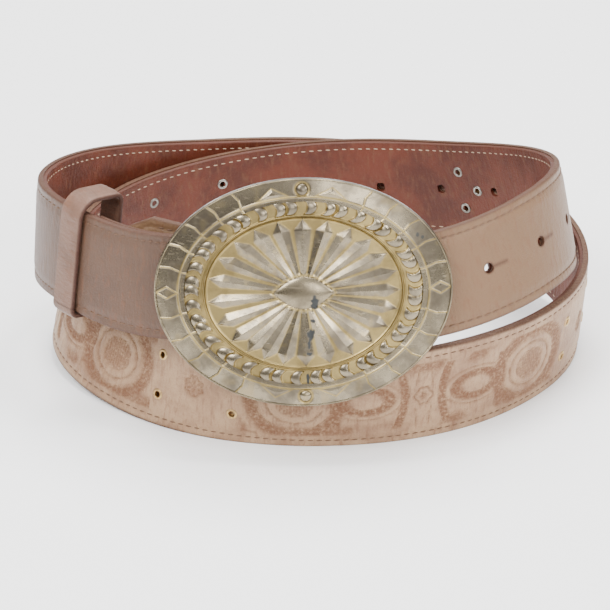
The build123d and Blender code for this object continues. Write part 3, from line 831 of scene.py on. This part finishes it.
BRASS = metal("old brass", (0.55, 0.38, 0.18), (0.32, 0.2, 0.09), 0.32)
NICKEL = metal("worn nickel", (0.40, 0.38, 0.34), (0.22, 0.205, 0.18), 0.28)
lip = [(1.1, 3.7), (1.08, 0.15), (1.15, -0.18), (1.4, -0.35), (1.75, -0.3)]
lip += [(2.05, -0.08), (2.1, 0.12), (1.5, 0.2), (1.5, 3.7)]
rings = lathe_rings("eyelet_rings", eyelet_spots, lip)
finish_piece(rings, BRASS, "strap", "brass", "eyelets")
roll = [(1.1, 3.7), (1.1, 3.95), (1.3, 4.12), (1.7, 4.1), (2.0, 3.98), (2.1, 3.82), (2.05, 3.7)]
washers = lathe_rings("washer_rings", eyelet_spots, roll)
finish_piece(washers, NICKEL, "strap", "nickel", "eyelet_washers")

# %% [markdown]
# ## The fold and the keeper
#
# At the buckle end thin leather turns round the bail and lies back behind the strap, where two snaps
# hold it. The keeper is a loose loop of leather round both turns of the belt. Both are strips, so both
# are swept: a line of places with their outward directions, times a rounded section.

# %% Sweep a leather strip


def strip(name, line, normals, across, half, thickness, closed, crown=0.0):
    """A strip that follows a line, with a rounded section; line and normals are in mm in the frame."""
    widths = edge_rises(half, 1.0)
    rim = np.clip(1 - (half - np.abs(widths)) / 0.6, 0, 1)
    soft = 0.6 * (1 - np.sqrt(1 - rim**2))
    dome = crown * (1 - (widths / half) ** 2)
    outer = [(w, thickness - s - crown + d) for w, s, d in zip(widths, soft, dome)]
    inner = [(w, s * 0.5) for w, s in zip(widths[::-1], soft[::-1])]
    section = np.array(outer + inner)
    line, normals, across = np.array(line), np.array(normals), np.asarray(across)
    points = line[:, None] + section[None, :, :1] * across + section[None, :, 1:] * normals[:, None]
    count, rows = len(section), len(line)
    faces = []
    for i in range(rows if closed else rows - 1):
        m = (i + 1) % rows
        for j in range(count):
            k = (j + 1) % count
            faces.append([i * count + j, m * count + j, m * count + k, i * count + k])
    if not closed:
        faces += [list(range(count))[::-1], [(rows - 1) * count + j for j in range(count)]]
    piece = new_object(name, points.reshape(-1, 3) * MM, faces)
    piece.data.set_sharp_from_angle(angle=radians(50))
    walk = np.concatenate([[0], np.cumsum(np.linalg.norm(np.diff(line, axis=0), axis=1))])
    flat = np.stack(np.broadcast_arrays(walk[:, None], section[None, :, 0], section[None, :, 1]), axis=-1)
    add_attribute(piece, "flat", flat.reshape(-1, 3))
    side = np.clip(1.3 - (half - np.abs(section[:, 0])) / 0.55, 0, 1)
    add_attribute(piece, "edge", np.broadcast_to(side, (rows, count)).ravel())
    add_attribute(piece, "stain", np.zeros(rows * count))
    return piece


def section_frame(along):
    """Middle point and the inward, upward and forward directions of the strap at one place, in mm."""
    place = np.array([along])
    at = at_along(middle, place)[0] + coil_shift
    directions = (unit(at_along(field, place))[0] for field in (inward, up, forward))
    return at, *directions


print("the strap's end is at", section_frame(STRAP_LENGTH)[0].round(1))


# %% Keeper
KEEPER_BACK = 47.0
KEEPER_THICKNESS, KEEPER_HALF_WIDTH, KEEPER_CROWN = 1.9, 5.5, 0.35
KEEPER_CORNERS = (2.1, 1.6, 2.0, 6.4)
KEEPER_LOW = (-2.59, -19.93)
KEEPER_HIGH = (14.29, 23.06)


def rounded_loop(low, high, radii, step=0.7):
    """Points and outward directions round a rectangle with one radius for each corner."""
    corners = [(low[0], low[1]), (high[0], low[1]), (high[0], high[1]), (low[0], high[1])]
    points, normals = [], []
    for number, (x, y) in enumerate(corners):
        radius = radii[number]
        cx = x + radius * (1 if x == low[0] else -1)
        cy = y + radius * (1 if y == low[1] else -1)
        start = pi + number * pi / 2
        for share in np.linspace(0, 1, 9):
            turn = start + share * pi / 2
            normals.append((cos(turn), sin(turn)))
            points.append((cx + radius * cos(turn), cy + radius * sin(turn)))
    full_points, full_normals = [], []
    for i in range(len(points)):
        a, b = np.array(points[i]), np.array(points[(i + 1) % len(points)])
        na, nb = np.array(normals[i]), np.array(normals[(i + 1) % len(points)])
        pieces = max(1, int(np.linalg.norm(b - a) / step))
        for k in range(pieces):
            full_points.append(a + (b - a) * k / pieces)
            full_normals.append(unit(na + (nb - na) * k / pieces))
    return np.array(full_points), np.array(full_normals)


keeper_at, keeper_in, keeper_up, keeper_along = section_frame(STRAP_LENGTH - KEEPER_BACK)
loop, loop_out = rounded_loop(KEEPER_LOW, KEEPER_HIGH, KEEPER_CORNERS)
loop_line = keeper_at + loop[:, :1] * keeper_in + loop[:, 1:] * keeper_up
loop_normals = loop_out[:, :1] * keeper_in + loop_out[:, 1:] * keeper_up
keeper_size = (KEEPER_HALF_WIDTH, KEEPER_THICKNESS, True, KEEPER_CROWN)
keeper = strip("keeper_strap", loop_line, loop_normals, keeper_along, *keeper_size)
finish_piece(keeper, KEEPER_LEATHER, "keeper", "tan_leather", "keeper_loop")

# %% Fold round the bail
FOLD_AXIS_DEPTH, FOLD_THICKNESS, FOLD_HALF_WIDTH = 3.2, 1.6, 18.5
FOLD_REACH = 36.0
end_at, end_in, end_up, end_along = section_frame(STRAP_LENGTH)
axis = end_at + end_in * (FOLD_AXIS_DEPTH - STRAP_THICKNESS / 2)
line, normals = [], []
for turn in np.linspace(0, pi, 19):
    away = -end_in * cos(turn) + end_along * sin(turn)
    line.append(axis + away * FOLD_THICKNESS)
    normals.append(away)
for back in np.linspace(1.0, FOLD_REACH, 30):
    at, inside_way, _, _ = section_frame(STRAP_LENGTH - back)
    line.append(at + inside_way * (FOLD_AXIS_DEPTH + FOLD_THICKNESS - STRAP_THICKNESS / 2))
    normals.append(inside_way)
fold = strip("fold_leather", line, normals, end_up, FOLD_HALF_WIDTH, FOLD_THICKNESS, False)
finish_piece(fold, FOLD_LEATHER, "strap", "tan_leather", "fold_tab")

# %% [markdown]
# ## The plate buckle
#
# The buckle is a cast oval plate, bent to the waist. A gold wash lies in its hollows, and the raised
# parts are rubbed back to silver. From the rim to the middle it has a flat band with kinked lines, a
# rope of crescents between two rings, a ring of ridged rays on a gold field, and a domed eye. All of
# these are heights over one oval, so each zone is a grid in turn and share of the oval, and one
# function bends a height onto the curved plate. The same functions say where the gold stays.

# %% Bend heights onto the plate
PLATE_HALF_LENGTH, PLATE_HALF_HEIGHT = 53.0, 41.0
PLATE_RISE = 7.0
PLATE_RADIUS = (PLATE_HALF_LENGTH**2 + PLATE_RISE**2) / (2 * PLATE_RISE)
PLATE_TURN = radians(1.0)
BAIL_PLACE, BAIL_DEPTH = 43.0, 15.8
heading = np.array([cos(PLATE_TURN), sin(PLATE_TURN), 0])
plate_up = end_up
plate_right = unit(heading - plate_up * heading.dot(plate_up))
plate_out = np.cross(plate_right, plate_up)
plate_middle = axis + plate_right * BAIL_PLACE + plate_out * BAIL_DEPTH


def on_plate(x, y, height):
    """Points at a height over the plate's curved front, in metres."""
    x, y, height = np.broadcast_arrays(x, y, height)
    z = np.sqrt((PLATE_RADIUS + height) ** 2 - x * x) - PLATE_RADIUS
    place = plate_middle + x[..., None] * plate_right + y[..., None] * plate_up + z[..., None] * plate_out
    return place * MM


def plate_oval(turn):
    """The plate's outline."""
    return PLATE_HALF_LENGTH * np.cos(turn), PLATE_HALF_HEIGHT * np.sin(turn)


def oval_zone(name, inner, outer, turns, rows, shape, outline=plate_oval, bottom=0.0):
    """A closed ring between two shares of an outline; shape gives height, gold and dark."""
    turn = np.linspace(0, 2 * pi, turns, endpoint=False)[:, None]
    share = np.asarray(rows)[None, :] * (outer - inner) + inner
    wide, tall = outline(turn)
    x, y = wide * share, tall * share
    height, gold, dark = shape(turn + 0 * share, share + 0 * turn, x, y)
    top = on_plate(x, y, height)
    low_share = np.array([outer, inner])[None, :]
    points = np.concatenate([top, on_plate(wide * low_share, tall * low_share, bottom)], axis=1)
    count = points.shape[1]
    numbers = np.arange(turns * count).reshape(turns, count)
    following = np.roll(numbers, -1, axis=0)
    closed = np.roll(numbers, -1, axis=1)
    closed_following = np.roll(following, -1, axis=1)
    faces = np.stack([numbers, following, closed_following, closed], axis=-1).reshape(-1, 4)
    piece = new_object(name, points.reshape(-1, 3), faces[:, ::-1])
    piece.data.set_sharp_from_angle(angle=radians(62))
    pad = np.zeros((turns, 2))
    add_attribute(piece, "gold", np.concatenate([gold + 0 * x, pad + 1], axis=1).ravel())
    add_attribute(piece, "dark", np.concatenate([dark + 0 * x, pad], axis=1).ravel())
    return piece


print("plate radius", round(PLATE_RADIUS, 1), "mm")

# %% Where the plate is stained


def tarnish(x, y):
    """Black spots that run down from the eye, and two near the upper right."""
    spots = [
        (3.8, -3.6, 1.2, 2.5),
        (3.0, -10.2, 0.8, 0.6),
        (2.3, -14.8, 1.1, 2.3),
        (1.6, -18.8, 0.5, 1.4),
        (1.6, -22.0, 1.0, 0.7),
        (1.0, -31.0, 0.55, 1.7),
        (40.6, 19.6, 0.6, 0.8),
        (42.4, 18.4, 0.5, 0.5),
        (51.6, 8.5, 0.5, 1.6),
    ]
    ragged = 0.75 * (speckle(x, y, 0.9, 11) - 0.5)
    dark = np.zeros(np.shape(x))
    for across, rise, wide, tall in spots:
        dark = np.maximum(dark, 1 - ramp(oval(x - across, y - rise, wide, tall) + ragged, 0.85, 1.15))
    return dark


print("just under the eye the stain is", tarnish(np.array([3.8]), np.array([-3.6])))

# %% Flat outer band with kinked lines


def quadrant(turn):
    """A turn folded into the first quarter, 0 at the plate's ends and 90 degrees at top and bottom."""
    folded = np.abs((turn + pi / 2) % pi - pi / 2)
    return np.minimum(folded, pi - folded)


print("quarter turns of 0 to 3 radians:", quadrant(np.arange(4.0)).round(2))


def outer_band(turn, share, x, y):
    """Sloped silver band with gold grooves, diamonds, domes and small pyramids."""
    step = np.interp(share, [0.83, 1.0], [0, 1])
    height = 0.95 - 0.8 * step + 0.1 * np.sin(step * pi)
    gold = np.zeros(x.shape)
    quarter = quadrant(turn)
    scale = np.hypot(PLATE_HALF_LENGTH * np.sin(turn), PLATE_HALF_HEIGHT * np.cos(turn))
    for angle in (12.5, 25.0, 37.0, 49.0, 61.0):
        kink = radians(1.25) * (1 - np.abs(2 * step - 1)) + radians(0.5) * step
        line = groove((quarter - radians(angle) - kink) * scale, 0.42)
        height = height + 0.3 * line
        gold = np.maximum(gold, ramp(line, 0.05, 0.5))
    # Diamond at each end.
    diamond = np.abs(y) / 2.1 + np.abs(np.abs(x) - 48.6) / 3.8
    line = groove((diamond - 1) * 1.9, 0.42)
    height = height + 0.3 * line
    gold = np.maximum(gold, ramp(line, 0.05, 0.5))
    # Dome in a ring at the top and at the bottom.
    dome = np.hypot(x, np.abs(y) - 37.2)
    height = height + 1.0 * np.sqrt(np.clip(1 - (dome / 2.1) ** 2, 0, 1)) - 0.25 * groove(dome - 2.5, 0.6)
    gold = np.maximum(gold, groove(dome - 2.5, 0.75))
    # A flat pyramid on both sides of each dome.
    px, py = np.abs(x) - 10.4, np.abs(y) - 35.0
    tilt = 0.17
    px, py = px * cos(tilt) - py * sin(tilt), px * sin(tilt) + py * cos(tilt)
    sides = np.minimum(py + 1.1, 2.6 - 0.68 * np.abs(px) - py)
    height = height + 0.55 * np.clip(sides / 1.2, 0, 1)
    gold = np.maximum(gold, groove(sides, 0.45))
    # The ring that closes the band, and wear along it.
    ring = groove(share - 0.843, 0.012)
    height = height + 0.35 * ring
    gold = np.maximum(gold, ramp(ring, 0.1, 0.6) * 0.9)
    cloudy = ramp(speckle(x, y, 3.2, 13), 0.62, 0.95) * 0.25
    return height, np.clip(gold + cloudy, 0, 1), tarnish(x, y)


def rim_shape(turn, share, x, y):
    """A narrow polished roll."""
    step = np.clip((share - 0.984) / 0.016, 0, 1)
    return 0.15 + 0.5 * np.sqrt(np.clip(1 - (2 * step - 1) ** 2, 0, 1)), 0.12 + 0 * x, 0 * x


# %% Crescents
CRESCENT_SETS = 14


def crescent_band(turn, share, x, y):
    """A rope of silver crescents with gold hollows, in turns of two and one."""
    scale = np.hypot(PLATE_HALF_LENGTH * 0.75 * np.sin(turn), PLATE_HALF_HEIGHT * 0.75 * np.cos(turn))
    radial = np.hypot(PLATE_HALF_LENGTH * np.cos(turn), PLATE_HALF_HEIGHT * np.sin(turn))
    across = (share - 0.75) * radial
    trough = np.clip(1 - (across / 2.9) ** 2, 0, 1)
    height = 0.35 - 0.2 * trough
    gold = np.ones(x.shape)
    period = 2 * pi / CRESCENT_SETS
    for offset in (0.0, 0.235, 0.62):
        local = ((-turn - offset * period + period / 2) % period - period / 2) * scale
        bulge = np.hypot(local / 1.15, across) / 2.8
        hollow = np.hypot((local + 3.1) / 1.0, across) / 2.9
        dome = np.sqrt(np.clip(1 - bulge**2, 0, 1)) * ramp(hollow, 0.98, 1.1)
        lip = groove((hollow - 1) * 2.9, 0.4) * (bulge < 1)
        height = np.maximum(height, 0.25 + np.maximum(1.15 * dome, 0.75 * lip))
        gold = np.minimum(gold, 1 - ramp(dome, 0.15, 0.6))
    for place, tall in ((0.822, 0.75), (0.678, 0.7)):
        ring = groove(share - place, 0.011)
        height = np.maximum(height, 0.25 + tall * ring)
    copper = groove(share - 0.663, 0.008)
    return height, gold, np.maximum(tarnish(x, y), 0.3 * copper)


print(3 * CRESCENT_SETS, "crescents")

# %% Rays and their field
RAY_COUNT = 24
RAY_PITCH = 360 // RAY_COUNT
RAY_WIDEST, RAY_TIP = 0.555, 0.645


def ray_field(turn, share, x, y):
    """Ridged silver rays, narrow at the eye and widest near their tips, on a gold ground."""
    height = 0.32 + 0 * x
    gold = np.ones(x.shape)
    run = np.hypot(PLATE_HALF_LENGTH * np.sin(turn), PLATE_HALF_HEIGHT * np.cos(turn))
    wide = 0.118 * run * RAY_WIDEST
    width = wide * np.interp(share, [0.08, RAY_WIDEST, RAY_TIP], [0.14, 1.0, 0.0])
    for even in range(0, 360, RAY_PITCH):
        degree = even + 11 * np.exp(-(((even - 205) / 38) ** 2))
        off = (turn - radians(degree) + pi) % (2 * pi) - pi
        inside = 1 - np.abs(off) * (run * share) / np.maximum(width, 1e-3)
        ridge = 1.25 * np.sqrt(np.clip(width / wide, 0, 1)) * np.clip(inside, 0, 1)
        height = np.maximum(height, 0.32 + ridge)
        gold = np.minimum(gold, 1 - ramp(inside, -0.02, 0.25))
    eye = 1 - np.abs(y) / 6.1 - (x / 11.2) ** 2
    moat = groove(eye + 0.04, 0.13)
    height = height * (1 - 0.5 * moat) + 0.45 * moat
    gold = np.maximum(gold, moat)
    ring = groove(share - 0.655, 0.012)
    height = np.maximum(height, 0.3 + 0.5 * ring)
    patchy = speckle(x, y, 1.7, 17)
    gold = np.where(gold < 0.5, gold + 0.3 * ramp(patchy, 0.55, 0.95), gold)
    return height, gold, tarnish(x, y)


print(RAY_COUNT, "rays,", RAY_PITCH, "degrees apart")

# %% The eye
EYE_HALF_LENGTH, EYE_HALF_HEIGHT = 10.9, 5.95


def eye_dome(turn, share, x, y):
    """The domed eye; share runs to its pointed outline and is not used here."""
    slim = np.clip(1 - (x / EYE_HALF_LENGTH) ** 2, 1e-6, 1)
    dome = np.sqrt(np.clip(1 - (y / (EYE_HALF_HEIGHT * slim)) ** 2, 0, 1)) * slim**0.6
    return 0.3 + 1.6 * dome, 0.08 + 0 * x, tarnish(x, y)


def eye_outline(turn):
    """A pointed oval of two arcs."""
    return EYE_HALF_LENGTH * np.cos(turn), EYE_HALF_HEIGHT * np.sin(turn) * np.abs(np.sin(turn))


print("eye", 2 * EYE_HALF_LENGTH, "by", 2 * EYE_HALF_HEIGHT, "mm")

# %% [markdown]
# ## Silver, gold and tarnish
#
# One paint serves the whole plate: the gold mask blends aged gold into champagne silver, and the dark
# mask blends in black tarnish, which is dull and no longer reflects. Grey clouds in the silver and fine
# scratches keep it from looking new.

# %% Buckle paint
buckle_paint = Paint("silver and gold plate")
place = buckle_paint.node("TexCoord", output=3)
cloud = buckle_paint.noise(place, 95.0, 5.0, 0.62).between(0.36, 0.68)
fine = buckle_paint.noise(place, 620.0, 4.0, 0.65)
brushed = buckle_paint.stretch(place, (160.0, 900.0, 1400.0))
scratches = buckle_paint.noise(brushed, 1.0, 2.0).between(0.6, 0.72)
silver = buckle_paint.mix(cloud, (0.25, 0.21, 0.145), (0.12, 0.1, 0.073))
gold = buckle_paint.mix(cloud, (0.34, 0.255, 0.105), (0.21, 0.155, 0.063))
gold_mask = buckle_paint.read("gold")
dark_mask = buckle_paint.read("dark")
colour = buckle_paint.mix(gold_mask, silver, gold)
colour = buckle_paint.mix(fine.between(0.6, 0.8) * 0.45, colour, (0.22, 0.17, 0.13))
colour = buckle_paint.mix(dark_mask, colour, (0.012, 0.014, 0.014))
buckle_paint.set(
    Base_Color=colour,
    Metallic=1.0 - dark_mask,
    Roughness=0.24 + cloud * 0.1 + gold_mask * 0.14 + scratches * 0.12 + dark_mask * 0.3,
)
buckle_paint.bump(fine * 0.6 + scratches * 0.5, 0.00005, 0.4)
PLATE_METAL = buckle_paint.material
print("paint nodes:", len(PLATE_METAL.node_tree.nodes))

# %% Build the buckle's front
flat_band = oval_zone("kinked_line_band", 0.8, 0.99, 1280, np.linspace(0, 1, 50), outer_band)
finish_piece(flat_band, PLATE_METAL, "buckle", "silver")
rim = oval_zone("plate_rim", 0.984, 1.0, 720, np.linspace(0, 1, 12), rim_shape)
finish_piece(rim, PLATE_METAL, "buckle", "silver", "buckle_rim")
band = oval_zone("crescent_ring", 0.655, 0.836, 1400, np.linspace(0, 1, 44), crescent_band)
finish_piece(band, PLATE_METAL, "buckle", "silver", "bead_band")
field = oval_zone("ray_ring", 0.03, 0.665, 1320, np.linspace(0, 1, 66), ray_field)
finish_piece(field, PLATE_METAL, "buckle", "gold", "ray_medallion")
eye = oval_zone("eye_dome", 0.002, 1.0, 180, np.sin(np.linspace(0, pi / 2, 26)), eye_dome, eye_outline)
finish_piece(eye, PLATE_METAL, "buckle", "silver", "eye_boss")

# %% [markdown]
# ## Hidden fittings
#
# The base plate, bail, knuckles, hook, snaps and staple already have their true shape in the CAD model,
# so they keep it and only get a better metal. The filler between the leathers is never seen whole, only
# as a line in the holes, and it gets raw leather.

# %% Paint the CAD pieces that stay
kept = {"buckle_plate": PLATE_METAL, "strap_core": FILLER_LEATHER}
for node in ("bail", "bail_knuckles", "hook_base", "hook", "keeper_staple"):
    kept[node] = NICKEL
for node in ("snap_posts", "snap_studs", "snap_sockets", "snap_caps"):
    kept[node] = NICKEL
for node, material in kept.items():
    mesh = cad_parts[node].data
    mesh.materials.clear()
    mesh.materials.append(material)
print("kept CAD pieces:", len(kept))

# %% [markdown]
# ## Floor, light and camera
#
# A belt of pale leather is shown on white, so the floor is plain and pale and the light comes from
# large soft lamps: one high at the left, one low at the right, a weak one in front and a broad one
# above. The room is white overhead and greyer towards the horizon, which gives polished metal
# something to reflect: its ridges turn bright above and dark below.

# %% Stage
floor_points = [(-3, -3, 0), (3, -3, 0), (3, 3, 0), (-3, 3, 0)]
floor = new_object("floor", floor_points, [(0, 1, 2, 3)], smooth=False)
floor_paint = Paint("pale floor", Roughness=0.9, Specular_IOR_Level=0.1)
spread = floor_paint.noise(floor_paint.node("TexCoord", output=3), 3.0)
floor_paint.set(Base_Color=floor_paint.mix(spread, (0.93, 0.93, 0.93), (0.95, 0.95, 0.95)))
floor.data.materials.append(floor_paint.material)
floor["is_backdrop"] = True
print("floor", [round(v, 1) for v in floor.dimensions])

# %% Lamps


def soft_lamp(name, place, target, size, power):
    """A square area lamp that points at a target."""
    lamp = bpy.data.lights.new(name, "AREA")
    lamp.shape = "SQUARE"
    lamp.size, lamp.energy = size, power
    holder = bpy.data.objects.new(name, lamp)
    holder.location = place
    holder.rotation_euler = (Vector(target) - Vector(place)).to_track_quat("-Z", "Y").to_euler()
    bpy.context.scene.collection.objects.link(holder)


soft_lamp("upper left lamp", (-0.8, -0.9, 1.4), (0, 0, 0.04), 0.8, 34)
soft_lamp("right lamp", (1.3, -0.8, 0.9), (0, 0, 0.04), 0.6, 18)
soft_lamp("front lamp", (0.5, -1.5, 0.62), (0, 0, 0.04), 0.6, 9)
soft_lamp("top lamp", (0.1, 0.5, 1.6), (0, 0, 0.04), 1.1, 52)
print("lamps:", len(bpy.data.lights))

# %% The room overhead
world = bpy.data.worlds.new("white room")
bpy.context.scene.world = world
world.use_nodes = True
sky = world.node_tree
direction = sky.nodes.new("ShaderNodeTexCoord")
split = sky.nodes.new("ShaderNodeSeparateXYZ")
fade = sky.nodes.new("ShaderNodeMapRange")
fade.interpolation_type = "SMOOTHSTEP"
for name, value in (("From Min", 0.05), ("From Max", 0.6), ("To Min", 0.08), ("To Max", 1.25)):
    fade.inputs[name].default_value = value
sky.links.new(direction.outputs["Generated"], split.inputs[0])
sky.links.new(split.outputs["Z"], fade.inputs["Value"])
sky.links.new(fade.outputs["Result"], sky.nodes["Background"].inputs["Strength"])
sky.nodes["Background"].inputs["Color"].default_value = (1, 1, 1, 1)
print("room nodes:", [node.name for node in sky.nodes])

# %% Camera
CAMERA_DISTANCE = 2.055
CAMERA_ELEVATION = radians(26.4)
aim = Vector((-0.00245, -0.0025, 0.0204))
camera = bpy.data.objects.new("camera", bpy.data.cameras.new("camera"))
camera.data.lens = 328.9
camera.location = aim + CAMERA_DISTANCE * Vector((0, -cos(CAMERA_ELEVATION), sin(CAMERA_ELEVATION)))
camera.rotation_euler = (aim - camera.location).to_track_quat("-Z", "Y").to_euler()
bpy.context.scene.collection.objects.link(camera)
bpy.context.scene.camera = camera
print("camera at", [round(v, 3) for v in camera.location])

# %% Print the sizes of both boxes and finish
bpy.context.view_layer.update()
visual_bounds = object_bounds()
boxes = {
    "cad": [[float(v) for v in corner] for corner in cad_bounds],
    "visual": [[float(v) for v in corner] for corner in visual_bounds],
}
for word, (low_corner, high_corner) in boxes.items():
    print(word, [round((h - l) / MM, 1) for l, h in zip(low_corner, high_corner)], "mm")
